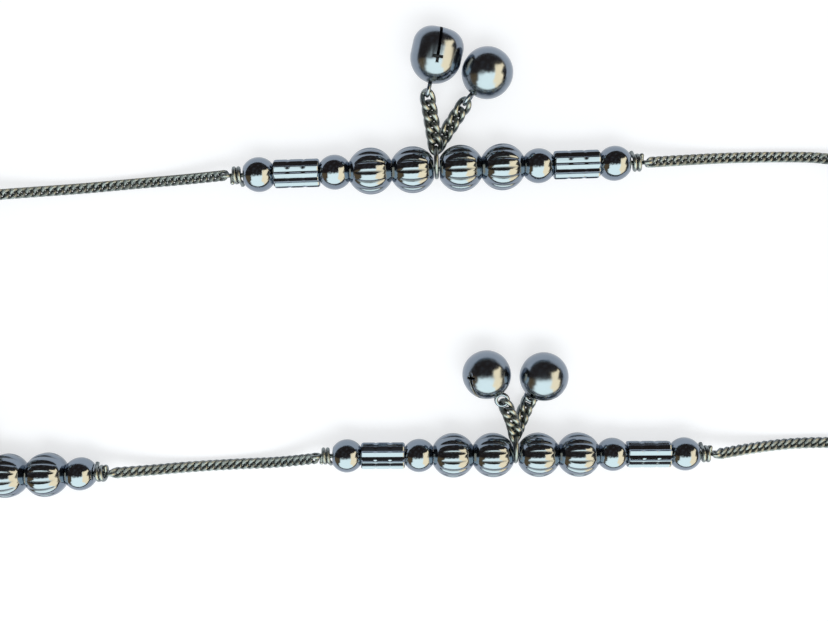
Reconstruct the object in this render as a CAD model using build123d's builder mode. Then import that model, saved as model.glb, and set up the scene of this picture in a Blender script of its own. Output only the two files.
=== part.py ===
"""Payal anklet: bead groups on wire, curb chain between them and pairs of jingle bells, lying flat as a closed loop.

Millimetres, +Z up, standing on z = 0 with the origin at the middle of the loop's footprint. Going round the loop,
long bead groups, with tube beads, take turns with short ones. Each group is strung on its own stiff wire, whose ends
are bent to an eye and wrapped back, and each carries two bells on small link chains from a ring at its middle.
"""

import os
from collections import namedtuple
from math import cos, pi, radians, sin, tan

from build123d import *

# Placing of the whole loop: the point of the plan that becomes the origin
PLAN_MIDDLE = (-4.941, 3.828)

# Beads
FLUTED_D = 4.55
FLUTED_LENGTH = 4.0
FLUTE_COUNT = 14
FLUTE_DEPTH = 0.2
FLUTE_TOOL_R = 0.24  # round section of the groove
FLUTE_ARC_R = 3.4  # arc along the groove, flatter than the bead, so that it fades out before the ends
PLAIN_D = 3.4
PLAIN_LENGTH = 2.8
TUBE_D = 2.75
TUBE_LENGTH = 4.4
TUBE_SIDES = 12
TUBE_END_ROUND = 0.45
NICK_R = 0.4
NICK_DEPTH = 0.09
NICK_OFFSET = TUBE_LENGTH / 6
BORE_D = 0.75
BEAD_GAP = 0.1
CENTRE_GAP = 0.66

# Wire through the beads, its wrapped ends and eyes
WIRE_R = 0.225
WRAP_WIRE_R = 0.2
WRAP_R = 0.68  # middle line of the wrapped turns
WRAP_PITCH = 0.44
WRAP_TURNS = 2.0
WRAP_CLEAR = 0.15
JOINT_SWELL = 1.12  # rounded corners where wire meets wire, against the wire's own radius
EYE_R = 0.42
EYE_REACH = 1.8  # from the last bead's end to the middle of the eye
TAIL_LENGTH = 0.55
TAIL_SPREAD = 35.0  # degrees that the cut tail stands off the turns

# Ring round the wire, small links and bells
RING_R = 1.45
RING_WIRE_R = 0.21
RING_SHIFT = 0.62  # the ring hangs towards the bells
LINK_LENGTH = 1.9
LINK_WIDTH = 1.3
LINK_WIRE_R = 0.16
LINK_PITCH = 1.08  # wanted distance between links; each chain shares out its own length
LINK_END_REACH = 0.3  # from a link's middle to the wire that its end holds
BELL_R = 2.45
BELL_WALL = 0.3
BELL_SEAM_RISE = 0.05
BELL_SEAM_WIDTH = 0.16
SLIT_WIDTH = 0.22
SLIT_FOOT = 1.9  # from the bell's middle to the level where the long slit ends
CROSS_SLIT_HALF = 0.5
CROSS_SLIT_TURN = -27.0  # degrees from the long slit's middle towards its end
LOOP_R = 0.6
LOOP_WIRE_R = 0.2
LOOP_STAND = 0.6

# Curb chain, as its outer tube, and the clasp
CHAIN_D = 0.95
CHAIN_ARC_SHARE = 0.45  # how much of a run its arcs may take up
CLASP_R = 1.9
CLASP_WIRE_R = 0.45
CLASP_SWEEP = 300.0

AXIS_Z = FLUTED_D / 2  # the widest beads stand on the ground

LONG_KINDS = ("fluted", "fluted", "plain", "tube", "plain")
SHORT_KINDS = ("fluted", "fluted", "plain")
BEAD_LENGTHS = {"fluted": FLUTED_LENGTH, "plain": PLAIN_LENGTH, "tube": TUBE_LENGTH}

# Bead groups: middle of the group in plan, heading of its wire in degrees, and beads from the middle outwards.
# The bells lie to the left of the heading. A strung group keeps all its beads in one node.
Group = namedtuple("Group", "name x y heading kinds strung")
GROUPS = (
    Group("upper", 2.2, 14.0, 1.8, LONG_KINDS, False),
    Group("lower", 10.45, -15.05, 0.35, LONG_KINDS, False),
    Group("lower_left", -44.3, -17.35, 1.5, SHORT_KINDS, False),
    Group("right", 48.2, 0.1, -74.2, SHORT_KINDS, True),
    Group("upper_left", -55.2, 8.6, 12.4, SHORT_KINDS, True),
)

# The half of a shell that faces away from its loop: its height and the rounding of its shoulder
Crown = namedtuple("Crown", "height shoulder_r")
CROWNS = {"round": Crown(2.48, 2.4), "square": Crown(2.8, 1.75)}

# The middle of a long slit, as a heading and a rise in degrees, and the slit's turn from the level
Slit = namedtuple("Slit", "heading rise turn")

# Bells: form of the crown, middle in plan, heading and dip of the loop on the shell, the slit, the place on the ring
# that holds the links, counted in degrees from the bells' side upwards, and the point that the links' route bends to.
Bell = namedtuple("Bell", "group name crown x y heading dip slit ring_angle bend")
BELLS = (
    Bell("upper", "left", "square", 2.08, 24.52, -102.7, 2.2, Slit(74, 64, -82), 10.6, (1.83, 17.75, 2.25)),
    Bell("upper", "right", "round", 6.99, 23.08, -125.8, 14.0, Slit(60, -50, 20), -15.8, (3.32, 17.74, 0.9)),
    Bell("lower", "left", "round", 7.35, -6.55, -58.9, 0.0, Slit(215, 42, -20), 19.9, (10.13, -11.31, 2.72)),
    Bell("lower", "right", "round", 13.11, -6.75, -112.4, 29.1, Slit(262, 33, 5), -13.2, (11.36, -10.77, 0.92)),
    Bell("lower_left", "left", "round", -51.35, -9.2, -33.0, 10.0, Slit(150, 35, 70), 15.0, (-46.15, -12.95, 2.55)),
    Bell("lower_left", "right", "square", -46.73, -6.5, -66.0, 18.0, Slit(85, 20, -40), -18.0, (-44.0, -12.25, 0.3)),
    Bell("right", "left", "round", 58.4, 5.5, 211.5, 15.0, Slit(55, 40, 30), 10.0, (52.65, 2.1, 2.5)),
    Bell("right", "right", "round", 59.45, -0.9, 172.0, 21.0, Slit(-20, 55, 80), -18.0, (52.55, 0.1, 0.6)),
    Bell("upper_left", "left", "round", -60.85, 17.15, -65.0, 3.5, Slit(130, 30, -50), 9.5, (-58.25, 12.9, 2.35)),
    Bell("upper_left", "right", "square", -55.1, 18.8, -88.0, 16.0, Slit(70, 60, 15), -17.0, (-55.2, 12.9, 0.75)),
)

# Routes of the curb chain's tubes, each from eye to eye or to the clasp
CHAIN_ROUTES = {
    "upper_left_chain": (
        (-19.04, 13.32, 2.2),
        (-22.4, 12.95, 1.2),
        (-27.2, 12.55, 0.5),
        (-32.6, 12.05, 0.5),
        (-37.5, 11.72, 0.95),
        (-41.66, 11.45, 2.15),
    ),
    "upper_right_chain": (
        (23.44, 14.68, 2.2),
        (26.7, 14.85, 1.25),
        (31.1, 15.05, 0.5),
        (36.1, 15.14, 0.5),
        (39.9, 15.1, 0.5),
        (42.3, 14.7, 1.2),
        (44.11, 13.23, 2.2),
    ),
    "lower_left_chain": (
        (-30.45, -17.0, 2.15),
        (-27.4, -17.08, 1.2),
        (-23.2, -16.92, 0.5),
        (-18.2, -16.62, 0.5),
        (-13.9, -16.3, 1.0),
        (-10.7, -15.55, 2.1),
    ),
    "lower_right_chain": (
        (31.7, -14.9, 2.2),
        (34.9, -14.68, 1.2),
        (39.2, -14.38, 0.5),
        (44.0, -14.25, 0.5),
        (47.4, -14.7, 0.55),
        (49.8, -14.5, 1.2),
        (51.35, -13.1, 2.15),
    ),
    "clasp_upper_chain": (
        (-68.59, 5.34, 2.2),
        (-70.1, 3.7, 1.3),
        (-70.85, 0.75, 0.5),
        (-70.1, -2.2, 0.5),
    ),
    "clasp_lower_chain": (
        (-67.9, -10.78, 0.5),
        (-67.0, -13.8, 0.5),
        (-64.6, -16.4, 0.5),
        (-61.2, -17.7, 1.1),
        (-58.15, -17.71, 2.15),
    ),
}

CLASP_MIDDLE = (-69.0, -6.5)
CLASP_HEADING = -75.5


def direction(heading, dip=0.0):
    """Unit vector at a heading in plan, dipping below the level by a given angle."""
    flat = cos(radians(dip))
    return Vector(flat * cos(radians(heading)), flat * sin(radians(heading)), -sin(radians(dip)))


def in_plan(x, y, z):
    """A point of the loop's plan, moved to the part's origin."""
    return Vector(x - PLAN_MIDDLE[0], y - PLAN_MIDDLE[1], z)


def strand_plane(group, along):
    """Level plane on a group's wire: x follows the wire outwards from the middle, y points at the bells."""
    middle = in_plan(group.x, group.y, AXIS_Z)
    return Plane(middle + direction(group.heading) * along, x_dir=direction(group.heading), z_dir=(0, 0, 1))


def bead_places(kinds):
    """Kind and distance from the group's middle of each bead on one side, and where the last bead ends."""
    places = []
    end = CENTRE_GAP / 2 - BEAD_GAP
    for kind in kinds:
        start = end + BEAD_GAP
        end = start + BEAD_LENGTHS[kind]
        places.append((kind, (start + end) / 2))
    return places, end


def round_outline(diameter, length):
    """Half section of a ball cut off square at both ends, for a turn about the x axis."""
    end_radius = (diameter**2 / 4 - length**2 / 4) ** 0.5
    Polyline((-length / 2, end_radius), (-length / 2, 0), (length / 2, 0), (length / 2, end_radius))
    ThreePointArc((length / 2, end_radius), (0, diameter / 2), (-length / 2, end_radius))


# Bead shapes, each along the x axis about the origin and drilled

with BuildPart() as fluted_bead:
    with BuildSketch(Plane.XY):
        with BuildLine():
            round_outline(FLUTED_D, FLUTED_LENGTH)
        make_face()
    revolve(axis=Axis.X)
    groove_middle = FLUTED_D / 2 - FLUTE_DEPTH + FLUTE_TOOL_R - FLUTE_ARC_R
    for groove in range(FLUTE_COUNT):
        turn = 360 / FLUTE_COUNT * (groove + 0.5)
        outward = Vector(0, cos(radians(turn)), sin(radians(turn)))
        sideways = Vector(0, -sin(radians(turn)), cos(radians(turn)))
        with Locations(Plane(outward * groove_middle, x_dir=(1, 0, 0), z_dir=sideways)):
            Torus(FLUTE_ARC_R, FLUTE_TOOL_R, mode=Mode.SUBTRACT)
    with Locations(Plane.YZ):
        Cylinder(BORE_D / 2, 2 * FLUTED_LENGTH, mode=Mode.SUBTRACT)

with BuildPart() as plain_bead:
    with BuildSketch(Plane.XY):
        with BuildLine():
            round_outline(PLAIN_D, PLAIN_LENGTH)
        make_face()
    revolve(axis=Axis.X)
    with Locations(Plane.YZ):
        Cylinder(BORE_D / 2, 2 * PLAIN_LENGTH, mode=Mode.SUBTRACT)

with BuildPart() as tube_bead:
    with BuildSketch(Plane.YZ.offset(-TUBE_LENGTH / 2)):
        RegularPolygon(TUBE_D / 2, TUBE_SIDES)
    extrude(amount=TUBE_LENGTH)
    with BuildSketch(Plane.XY):
        with BuildLine():
            half = TUBE_LENGTH / 2
            edge = TUBE_D / 2 - TUBE_END_ROUND
            Polyline((-half, edge), (-half, 0), (half, 0), (half, edge))
            RadiusArc((half, edge), (half - TUBE_END_ROUND, TUBE_D / 2), -TUBE_END_ROUND)
            Line((half - TUBE_END_ROUND, TUBE_D / 2), (TUBE_END_ROUND - half, TUBE_D / 2))
            RadiusArc((TUBE_END_ROUND - half, TUBE_D / 2), (-half, edge), -TUBE_END_ROUND)
        make_face()
    revolve(axis=Axis.X, mode=Mode.INTERSECT)
    for corner in range(TUBE_SIDES):
        turn = 360 / TUBE_SIDES * corner
        reach = TUBE_D / 2 + NICK_R - NICK_DEPTH
        spot = Vector(0, cos(radians(turn)), sin(radians(turn))) * reach
        with Locations(spot + Vector(NICK_OFFSET, 0, 0), spot - Vector(NICK_OFFSET, 0, 0)):
            Sphere(NICK_R, mode=Mode.SUBTRACT)
    with Locations(Plane.YZ):
        Cylinder(BORE_D / 2, 2 * TUBE_LENGTH, mode=Mode.SUBTRACT)

BEAD_SHAPES = {"fluted": fluted_bead, "plain": plain_bead, "tube": tube_bead}


# Small oval link, its long side on x and its flat side up

with BuildPart() as link_shape:
    side = (LINK_LENGTH - LINK_WIDTH) / 2
    bend_radius = LINK_WIDTH / 2 - LINK_WIRE_R
    with BuildLine():
        Line((-side, bend_radius), (side, bend_radius))
        ThreePointArc((side, bend_radius), (side + bend_radius, 0), (side, -bend_radius))
        Line((side, -bend_radius), (-side, -bend_radius))
        ThreePointArc((-side, -bend_radius), (-side - bend_radius, 0), (-side, bend_radius))
    with BuildSketch(Plane((-side, bend_radius, 0), z_dir=(1, 0, 0))):
        Circle(LINK_WIRE_R)
    sweep()


# Bell shells, one for each form of crown: crown up, loop side down


def bell_outline(crown, inset):
    """Half section of a bell, inset evenly: a half ball below, straight sides and the crown above."""
    radius = BELL_R - inset
    shoulder = crown.shoulder_r - inset
    top = crown.height - inset
    start = (0, -radius)
    ThreePointArc(start, (radius * sin(radians(45)), -radius * cos(radians(45))), (radius, 0))
    Line((radius, 0), (radius, top - shoulder))
    RadiusArc((radius, top - shoulder), (radius - shoulder, top), -shoulder)
    Polyline((radius - shoulder, top), (0, top), start)


BELL_SHELLS = {}
for form, crown in CROWNS.items():
    with BuildPart() as bell_shell:
        with BuildSketch(Plane.XZ):
            with BuildLine():
                bell_outline(crown, 0)
            make_face()
            with Locations((BELL_R, 0)):
                Rectangle(2 * BELL_SEAM_RISE, BELL_SEAM_WIDTH)
            with BuildLine():
                bell_outline(crown, BELL_WALL)
            make_face(mode=Mode.SUBTRACT)
        revolve(axis=Axis.Z)
    BELL_SHELLS[form] = bell_shell.part


# Beads on their wires

os.makedirs("parts", exist_ok=True)


def write(part, name):
    """Label a finished piece and write it."""
    part.label = name
    export_step(part, f"parts/{name}.step")


for group in GROUPS:
    places, strand_end = bead_places(group.kinds)
    both_sides = [(kind, side * along) for side in (-1, 1) for kind, along in places]
    both_sides.sort(key=lambda place: place[1])
    if group.strung:
        with BuildPart() as string:
            for kind, along in both_sides:
                with Locations(strand_plane(group, along)):
                    add(BEAD_SHAPES[kind].part)
        write(string.part, f"{group.name}_beads")
    else:
        counts = {"fluted": 0, "plain": 0, "tube": 0}
        for kind, along in both_sides:
            counts[kind] += 1
            with BuildPart() as bead:
                with Locations(strand_plane(group, along)):
                    add(BEAD_SHAPES[kind].part)
            write(bead.part, f"{group.name}_{kind}_bead_{counts[kind]}")


# Wires: a straight core through the beads, and at each end an upright eye, turns wrapped back and a cut tail

for group in GROUPS:
    places, strand_end = bead_places(group.kinds)
    core_half = strand_end + EYE_REACH - EYE_R
    centre = in_plan(group.x, group.y, AXIS_Z)
    with BuildPart() as strand_wire:
        with BuildSketch(Plane(centre - direction(group.heading) * core_half, z_dir=direction(group.heading))):
            Circle(WIRE_R)
        extrude(amount=2 * core_half)
        for outward in (direction(group.heading), direction(group.heading) * -1):
            first_turn = centre + outward * (strand_end + WRAP_CLEAR + WRAP_WIRE_R)
            last_turn = first_turn + outward * WRAP_PITCH * WRAP_TURNS
            eye_middle = centre + outward * (strand_end + EYE_REACH)
            with Locations(Plane(eye_middle, x_dir=outward, z_dir=direction(group.heading + 90))):
                Torus(EYE_R, WRAP_WIRE_R)
            with BuildLine() as turns:
                Helix(WRAP_PITCH, WRAP_PITCH * WRAP_TURNS, WRAP_R, center=first_turn, direction=outward)
            with BuildSketch(Plane(turns.line @ 0, z_dir=turns.line % 0)) as section:
                Circle(WRAP_WIRE_R)
            sweep(path=turns.line, is_frenet=True)
            with Locations(turns.line @ 0, turns.line @ 1):
                Sphere(WRAP_WIRE_R * JOINT_SWELL)
            with BuildSketch(Plane(last_turn, z_dir=turns.line @ 1 - last_turn)):
                Circle(WRAP_WIRE_R)
            extrude(amount=WRAP_R)
            spread = (turns.line @ 0 - first_turn).normalized() * tan(radians(TAIL_SPREAD))
            with BuildSketch(Plane(turns.line @ 0, z_dir=spread - turns.line % 0)):
                Circle(WRAP_WIRE_R)
            extrude(amount=TAIL_LENGTH)
    write(strand_wire.part, f"{group.name}_strand_wire")


# Bell links: the ring round the wire, and from it a small link chain to each bell


def bell_plane(bell):
    """Middle of a bell, with z towards its crown."""
    return Plane(in_plan(bell.x, bell.y, BELL_R + BELL_SEAM_RISE), z_dir=direction(bell.heading, bell.dip) * -1)


def slit_plane(bell):
    """Middle of a bell, with z towards the middle of its long slit and x along the slit."""
    outward = direction(bell.slit.heading, -bell.slit.rise)
    level = direction(bell.slit.heading + 90)
    along = level * cos(radians(bell.slit.turn)) + outward.cross(level) * sin(radians(bell.slit.turn))
    return Plane(in_plan(bell.x, bell.y, BELL_R + BELL_SEAM_RISE), x_dir=along, z_dir=outward)


def square_to(vector, axis):
    """The part of a vector that is square to an axis, as a unit vector."""
    return (vector - axis * vector.dot(axis)).normalized()


def link_planes(ring_middle, towards_bells, bell):
    """Planes of a bell's links, from the ring to the bell, and of the loop on its shell, each turned on the last."""
    held = towards_bells * cos(radians(bell.ring_angle)) + Vector(0, 0, sin(radians(bell.ring_angle)))
    ring_wire = towards_bells * -sin(radians(bell.ring_angle)) + Vector(0, 0, cos(radians(bell.ring_angle)))
    shell = bell_plane(bell)
    loop_out = shell.z_dir * -1
    start = ring_middle + held * RING_R
    end = shell.origin + loop_out * (BELL_R + LOOP_STAND + LOOP_R)
    with BuildLine(mode=Mode.PRIVATE):
        route = Bezier(start, in_plan(*bell.bend), end)
    length = route.length
    count = round((length - 2 * LINK_END_REACH) / LINK_PITCH) + 1
    pitch = (length - 2 * LINK_END_REACH) / (count - 1)
    planes = []
    for number in range(count):
        share = (LINK_END_REACH + number * pitch) / length
        along = route % share
        flat_side = square_to(ring_wire, along)
        if number % 2:
            flat_side = along.cross(flat_side)
        planes.append(Plane(route @ share, x_dir=along, z_dir=flat_side))
    wire_held = square_to(planes[-1].z_dir, loop_out)
    loop_middle = shell.origin + loop_out * (BELL_R + LOOP_STAND)
    return planes, Plane(loop_middle, x_dir=loop_out, z_dir=loop_out.cross(wire_held))


loop_planes = {}
for group in GROUPS:
    towards_bells = direction(group.heading + 90)
    ring_middle = in_plan(group.x, group.y, RING_R + RING_WIRE_R) + towards_bells * RING_SHIFT
    with BuildPart() as bell_links:
        with Locations(Plane(ring_middle, z_dir=direction(group.heading))):
            Torus(RING_R, RING_WIRE_R)
        for bell in [bell for bell in BELLS if bell.group == group.name]:
            planes, loop_planes[bell] = link_planes(ring_middle, towards_bells, bell)
            with Locations(*planes):
                add(link_shape.part)
    write(bell_links.part, f"{group.name}_bell_links")

for bell in BELLS:
    with BuildPart() as jingle_bell:
        with Locations(bell_plane(bell)):
            add(BELL_SHELLS[bell.crown])
        for length, turn, spin in ((2 * BELL_R, 0, 0), (2 * CROSS_SLIT_HALF, CROSS_SLIT_TURN, 90)):
            with Locations(slit_plane(bell).rotated((0, turn, 0)).offset(SLIT_FOOT)):
                with Locations(Location((0, 0, 0), (0, 0, spin))):
                    Box(
                        length,
                        SLIT_WIDTH,
                        2 * BELL_WALL + BELL_R,
                        align=(Align.CENTER, Align.CENTER, Align.MIN),
                        mode=Mode.SUBTRACT,
                    )
        with Locations(loop_planes[bell]):
            Torus(LOOP_R, LOOP_WIRE_R)
    write(jingle_bell.part, f"{bell.group}_bell_{bell.name}")


# Curb chain tubes: straight runs joined by tangent arcs as wide as the runs allow

for name, route in CHAIN_ROUTES.items():
    points = [in_plan(*point) for point in route]
    runs = [after - before for before, after in zip(points, points[1:])]
    radii = []
    for before, after in zip(runs, runs[1:]):
        half_turn = before.get_angle(after) / 2
        radii.append(CHAIN_ARC_SHARE * min(before.length, after.length) / tan(radians(half_turn)))
    with BuildPart() as chain_tube:
        with BuildLine():
            path = FilletPolyline(*points, radius=radii)
        with BuildSketch(Plane(path @ 0, z_dir=path % 0)):
            Circle(CHAIN_D / 2)
        sweep()
    write(chain_tube.part, name)
    expected = path.length * (CHAIN_D / 2) ** 2 * pi
    print(name, "runs", [round(run.length, 1) for run in runs], "radii", [round(radius, 1) for radius in radii])
    print(name, "length", round(path.length, 2), "volume / (section x length)", round(chain_tube.part.volume / expected, 4))


# Clasp: one S-shaped hook of round wire

with BuildPart() as clasp:
    clasp_plane = Plane(in_plan(*CLASP_MIDDLE, CLASP_WIRE_R), x_dir=direction(CLASP_HEADING + 90), z_dir=(0, 0, 1))
    with BuildLine(clasp_plane) as hook:
        upper_loop = CenterArc((0, CLASP_R), CLASP_R, -90, CLASP_SWEEP)
        lower_loop = CenterArc((0, -CLASP_R), CLASP_R, 90, CLASP_SWEEP)
    for loop in (upper_loop, lower_loop):
        with BuildSketch(Plane(loop @ 0, z_dir=loop % 0)) as section:
            Circle(CLASP_WIRE_R)
        sweep(sections=section.sketch, path=loop)
write(clasp.part, "clasp_hook")
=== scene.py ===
"""Payal anklet in polished silver, lying as a closed loop on a pale studio floor.

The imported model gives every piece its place. The beads, the bells, their rings and links and the curb chains
are modelled here in finer form and stand for their plain solids. The strand wires and the clasp stay and are
given a finish. Sizes in the classes are millimetres, and meshes are brought to metres when they are placed.
"""

import logging
from collections.abc import Callable, Iterable
from dataclasses import dataclass
from enum import Enum
from functools import cached_property
from math import atan2, cos, degrees, exp, floor, hypot, pi, radians, sin, sqrt

import bmesh
import bpy
from mathutils import Matrix, Vector


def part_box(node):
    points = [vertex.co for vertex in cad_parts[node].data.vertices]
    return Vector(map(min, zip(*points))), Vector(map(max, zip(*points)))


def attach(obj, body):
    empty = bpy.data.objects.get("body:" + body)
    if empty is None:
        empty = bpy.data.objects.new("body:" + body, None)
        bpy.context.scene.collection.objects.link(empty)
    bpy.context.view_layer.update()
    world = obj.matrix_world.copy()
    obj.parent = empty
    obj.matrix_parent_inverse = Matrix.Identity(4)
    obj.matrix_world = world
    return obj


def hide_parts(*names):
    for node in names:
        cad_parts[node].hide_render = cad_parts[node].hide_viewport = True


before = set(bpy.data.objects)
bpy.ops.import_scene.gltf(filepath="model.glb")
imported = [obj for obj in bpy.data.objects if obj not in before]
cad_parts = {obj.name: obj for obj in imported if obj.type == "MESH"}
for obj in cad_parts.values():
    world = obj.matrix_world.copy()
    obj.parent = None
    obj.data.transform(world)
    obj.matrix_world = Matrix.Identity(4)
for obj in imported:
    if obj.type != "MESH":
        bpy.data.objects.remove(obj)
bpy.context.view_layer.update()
MM = 0.001
TURN = 2 * pi
UP = Vector((0, 0, 1))
# The routes' points are millimetres in the plan of the solids' layout, and this is the frame's origin there
PLAN_MIDDLE = Vector((-4.941, 3.828, 0.0))
# Corners closer than this, in millimetres, are one corner
SAME_PLACE = 1e-5
# Edges shorter than this, in millimetres, are left over from cutting
SLIVER = 0.002
# The attribute that holds a piece's own dark lines, painted along grooves as tarnished silver and painted
# shade
DARK_LINES = "dark_lines"

Place = tuple[float, float, float]
Edge = tuple[float, float]
Colour = tuple[float, float, float, float]
WHITE: Colour = (1, 1, 1, 1)
Value = bpy.types.NodeSocket | Colour | float

log = logging.getLogger("anklet")


# Small helpers


def unit(heading: float, rise: float = 0.0) -> Vector:
    """Return the unit vector at a heading in the plan and a rise above the level, both in degrees."""
    level = cos(radians(rise))
    return Vector((level * cos(radians(heading)), level * sin(radians(heading)), sin(radians(rise))))


def in_plan(place: Place) -> Vector:
    """Return a place in the plan, in millimetres, as one in the frame, in metres."""
    return (Vector(place) - PLAN_MIDDLE) * MM


def middle_of(nodes: Iterable[str]) -> Vector:
    """Find the middle of the box that holds some CAD nodes.

    Args:
        nodes: Their names.

    Returns:
        The middle, in metres.
    """
    corners = [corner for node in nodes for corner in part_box(node)]
    low, high = ([pick(corner[axis] for corner in corners) for axis in range(3)] for pick in (min, max))
    return (Vector(low) + Vector(high)) / 2


def square_to(vector: Vector, axis: Vector) -> Vector:
    """Return the part of a vector that is square to a unit axis, as a unit vector."""
    return (vector - axis * vector.dot(axis)).normalized()


def aimed(x_axis: Vector, z_axis: Vector) -> Matrix:
    """Return the matrix that turns a shape's x and z axes to two unit vectors square to each other."""
    return Matrix((x_axis, z_axis.cross(x_axis), z_axis)).transposed().to_4x4()


def turned_to(origin: Vector, x_axis: Vector, z_axis: Vector) -> Matrix:
    """Return the matrix that takes millimetres at the origin to metres at a place in the frame.

    Args:
        origin: The place, in metres.
        x_axis: Unit vector for the shape's own x axis.
        z_axis: Unit vector for the shape's own z axis, square to x_axis.

    Returns:
        A matrix that scales, turns and then moves.
    """
    return Matrix.Translation(origin) @ aimed(x_axis, z_axis) @ Matrix.Scale(MM, 4)


def linear(code: str) -> Colour:
    """Turn an sRGB colour into a linear one.

    Args:
        code: The hex code, such as "c8ccd0".

    Returns:
        Linear red, green and blue, and an alpha of one.
    """
    parts = [int(code[i : i + 2], 16) / 255 for i in (0, 2, 4)]
    values = [p / 12.92 if p <= 0.04045 else ((p + 0.055) / 1.055) ** 2.4 for p in parts]
    return (*values, 1.0)


def empty_tree(owner: bpy.types.Material | bpy.types.World) -> bpy.types.NodeTree:
    """Turn on nodes, and take away those that come with them.

    Args:
        owner: A material or a world.

    Returns:
        Its empty node tree.
    """
    owner.use_nodes = True
    owner.node_tree.nodes.clear()
    return owner.node_tree


def add_node(
    tree: bpy.types.NodeTree,
    kind: str,
    inputs: dict[str | int, Value | Place | bool] | None = None,
    **settings: object,
) -> bpy.types.Node:
    """Add a node, set its properties and fill or link its inputs.

    Args:
        tree: The node tree.
        kind: The node's type name, without the ShaderNode prefix.
        inputs: Values or output sockets by input name or number.
        **settings: Properties of the node itself.

    Returns:
        The new node.
    """
    node = tree.nodes.new("ShaderNode" + kind)
    for name, value in settings.items():
        setattr(node, name, value)
    for name, value in (inputs or {}).items():
        if isinstance(value, bpy.types.NodeSocket):
            tree.links.new(value, node.inputs[name])
        else:
            node.inputs[name].default_value = value
    return node


# Finishes


@dataclass(frozen=True)
class SilverFinish:
    """White metal, cast or drawn, then tumbled bright, and painted darker in its recesses, partly as tarnished
    silver and partly as painted shade.

    Attributes:
        name: Name of the material.
        bright: Colour of the bright metal. For the beads and bells it is darker and bluer than the silver's
            own, partly its grey and partly a painted blue-grey reflection.
        tarnish_and_shade: Colour of the metal in its recesses, which stands for tarnished silver and for
            painted shade.
        roughness: Roughness of the bright metal.
        recess: Width in millimetres of the recesses that are painted darker.
        tarnish_and_shade_share: How far the recesses turn to that darker colour.
        ripple: Width in millimetres of the soft unevenness that forming leaves in the skin.
        ripple_height: Height in millimetres of that unevenness.
        cloud: Width in millimetres of the clouds that handling leaves in the gloss.
        cloud_gloss: Least and greatest share of the roughness in those clouds.
        recess_light: Shares of open sky at which a recess is fully dark and fully bright.
        dull: Greatest roughness that the darkened recesses get.
    """

    name: str
    bright: str
    tarnish_and_shade: str
    roughness: float
    recess: float
    tarnish_and_shade_share: float
    ripple: float
    ripple_height: float
    cloud: float = 2.2
    cloud_gloss: tuple[float, float] = (0.7, 1.5)
    recess_light: tuple[float, float] = (0.25, 0.85)
    dull: float = 0.45

    def material(self) -> bpy.types.Material:
        """Build the node material of this finish.

        Returns:
            The material.
        """
        material = bpy.data.materials.new(self.name)
        tree = empty_tree(material)
        place = add_node(tree, "TexCoord").outputs["Object"]
        # Occlusion marks the grooves, joints and link gaps, which are painted darker: partly silver sulphide
        # that builds up there, partly painted shade
        open_share = add_node(
            tree, "AmbientOcclusion", {"Distance": self.recess * MM}, samples=8, only_local=True
        ).outputs["AO"]
        darkest, brightest = self.recess_light
        shade_and_tarnish = add_node(
            tree,
            "MapRange",
            {"Value": open_share, "From Min": darkest, "From Max": brightest, "To Min": self.tarnish_and_shade_share,
             "To Max": 0.0},
        ).outputs["Result"]
        # A piece may also carry its own dark lines of painted shade and tarnished silver, as the fluted beads'
        # grooves do
        lines = add_node(tree, "Attribute", attribute_name=DARK_LINES).outputs["Fac"]
        shade_and_tarnish = add_node(tree, "Math", {0: shade_and_tarnish, 1: lines}, operation="MAXIMUM").outputs["Value"]
        # Handling leaves clouds a few millimetres wide, too soft to see but in the gloss
        clouds = add_node(
            tree,
            "TexNoise",
            {"Vector": place, "Scale": 1 / (self.cloud * MM), "Detail": 3.0, "Roughness": 0.6},
        ).outputs["Fac"]
        # The Mix node carries its colour pair as sockets 6 and 7, and its colour result as 2
        # Painted shade and tarnished silver: the marked recesses turn to the darker colour
        colour = add_node(
            tree, "Mix", {0: shade_and_tarnish, 6: linear(self.bright), 7: linear(self.tarnish_and_shade)}, data_type="RGBA"
        )
        glossiest, dullest = (self.roughness * share for share in self.cloud_gloss)
        roughness = add_node(
            tree,
            "MapRange",
            {"Value": clouds, "From Min": 0.3, "From Max": 0.7, "To Min": glossiest, "To Max": dullest},
        ).outputs["Result"]
        dulled = add_node(tree, "Math", {0: shade_and_tarnish, 1: self.dull}, operation="MINIMUM").outputs["Value"]
        rough = add_node(tree, "Math", {0: roughness, 1: dulled}, operation="MAXIMUM").outputs["Value"]
        # Hammering and drawing leave the skin a little uneven, which breaks up the edges of reflections
        waves = add_node(
            tree,
            "TexNoise",
            {"Vector": place, "Scale": 1 / (self.ripple * MM), "Detail": 2.0, "Roughness": 0.55},
        ).outputs["Fac"]
        bump = add_node(
            tree, "Bump", {"Height": waves, "Distance": self.ripple_height * MM, "Strength": 1.0}
        ).outputs["Normal"]
        shader = add_node(
            tree,
            "BsdfPrincipled",
            {"Base Color": colour.outputs[2], "Metallic": 1.0, "Roughness": rough, "Normal": bump},
        )
        add_node(tree, "OutputMaterial", {"Surface": shader.outputs["BSDF"]})
        return material


# The beads' and bells' bright colour is darker and bluer than the silver's own: partly its grey, partly a
# painted blue-grey reflection
# Beads soldered from pressed cups and tumbled: a clear mirror, a little uneven, dark in its grooves with
# tarnished silver and painted shade
BEAD_SILVER = SilverFinish("tumbled_silver_beads", "7f8a97", "2b2c2e", 0.09, 0.25, 0.6, 1.4, 0.006)
# Bells pressed from sheet, which stretches its grain: a softer mirror, painted nearly black inside, partly as
# tarnished silver and partly as painted shade
BELL_SILVER = SilverFinish("pressed_silver_bells", "7f8a97", "18191b", 0.17, 2.5, 0.95, 1.6, 0.009)
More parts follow.
